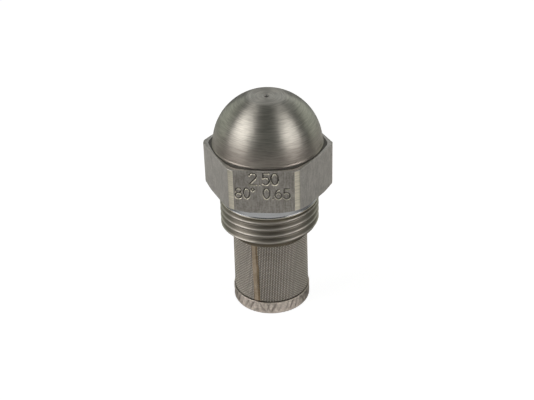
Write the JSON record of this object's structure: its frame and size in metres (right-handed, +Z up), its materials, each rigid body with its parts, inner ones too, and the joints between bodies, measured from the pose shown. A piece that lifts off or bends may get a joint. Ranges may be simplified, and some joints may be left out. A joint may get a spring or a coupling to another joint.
{
  "type": "oil burner nozzle",
  "caption": "Hex-bodied oil burner nozzle with a domed spray tip, threaded shank, swirl stem and lock screw inside, and a wire-cloth strainer with a fluted end cap.",
  "frame": {"origin": "centre of the strainer cap's underside, on the turning axis, at the bottom of the bounding box", "axes": "+Z up along the turning axis from the cap to the spray tip; two flats of the hexagon face -Y and +Y, and two of its corners lie on +X and -X"},
  "size_m": [0.018, 0.016, 0.0328],
  "materials": {
    "body_steel": "turned and milled stainless steel, warm grey, fine turning rings on the dome",
    "stem_steel": "ground stainless steel",
    "lock_brass": "turned brass",
    "ferrule_brass": "turned brass, dulled and darkened by heat and oil",
    "wire_cloth": "plain-woven fine stainless wire",
    "seam_braze": "dull tan brazed lap",
    "cap_plate": "matt plated, pinkish grey, rolled flutes"
  },
  "bodies": {
    "nozzle": {"nozzle_body": "body_steel"},
    "distributor": {"distributor": "stem_steel"},
    "lock_screw": {"lock_screw": "lock_brass"},
    "strainer": {"strainer_ferrule": "ferrule_brass", "strainer_core": "ferrule_brass", "cap_plug": "ferrule_brass", "strainer_mesh": "wire_cloth", "lap_seam": "seam_braze", "end_cap": "cap_plate"}
  },
  "joints": [
    {"name": "strainer_draw", "type": "slide", "parent": "nozzle", "child": "strainer", "axis": [0, 0, -1], "range_m": [0, 0.024]},
    {"name": "distributor_draw", "type": "slide", "parent": "nozzle", "child": "distributor", "axis": [0, 0, -1], "range_m": [0, 0.018]},
    {"name": "lock_screw_turn", "type": "hinge", "parent": "distributor", "child": "lock_screw", "pos_m": [0, 0, 0.0195], "axis": [0, 0, -1], "range_deg": [0, 8640]}
  ],
  "couplings": [
    {"joint": "distributor_draw", "follows": "strainer_draw", "ratio": 0.75},
    {"joint": "lock_screw_turn", "follows": "strainer_draw", "rad_per_m": 6283.2}
  ]
}
